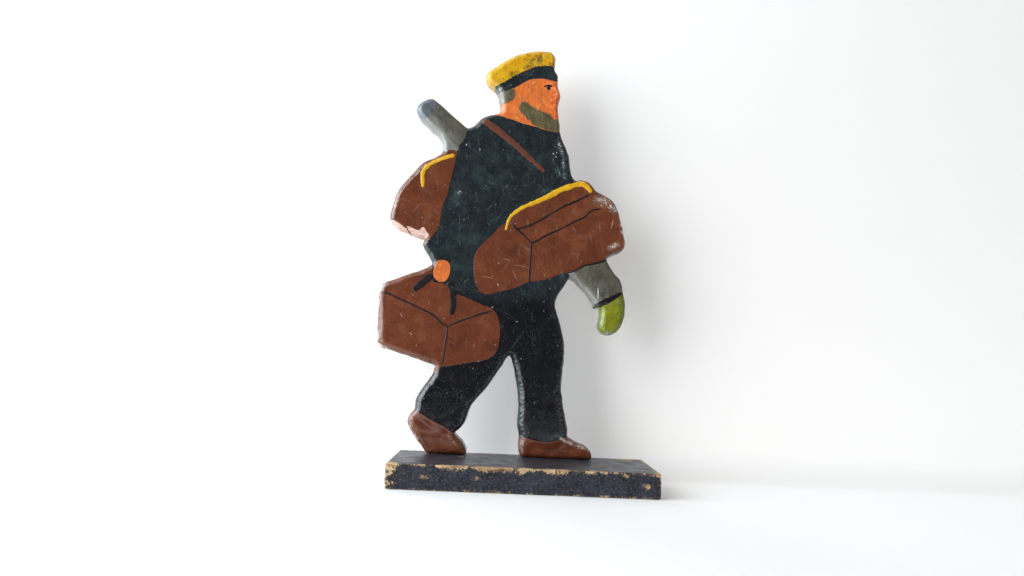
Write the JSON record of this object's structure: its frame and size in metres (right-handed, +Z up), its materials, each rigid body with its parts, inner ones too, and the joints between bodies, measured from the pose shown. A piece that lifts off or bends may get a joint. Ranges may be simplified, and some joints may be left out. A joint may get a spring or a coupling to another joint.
{
  "type": "painted cut-out toy figure",
  "caption": "Painted wooden cut-out of a walking sailor with luggage, sawn from a flat board with rounded edges, standing upright at the back of a black base block.",
  "frame": {"origin": "centre of the base block's underside", "axes": "+Z up, painted front towards -Y, +X the way the sailor walks"},
  "size_m": [0.0951, 0.0356, 0.1521],
  "materials": {
    "figure_paint": "hand-painted gloss enamel on wood, worn at the edges",
    "base_paint": "black gloss enamel on wood, rubbed through to bare wood along the edges",
    "nail_steel": "dull wire steel"
  },
  "bodies": {
    "root": {"figure_board": "figure_paint", "base_block": "base_paint", "front_foot_nail": "nail_steel", "rear_foot_nail": "nail_steel"}
  },
  "joints": []
}
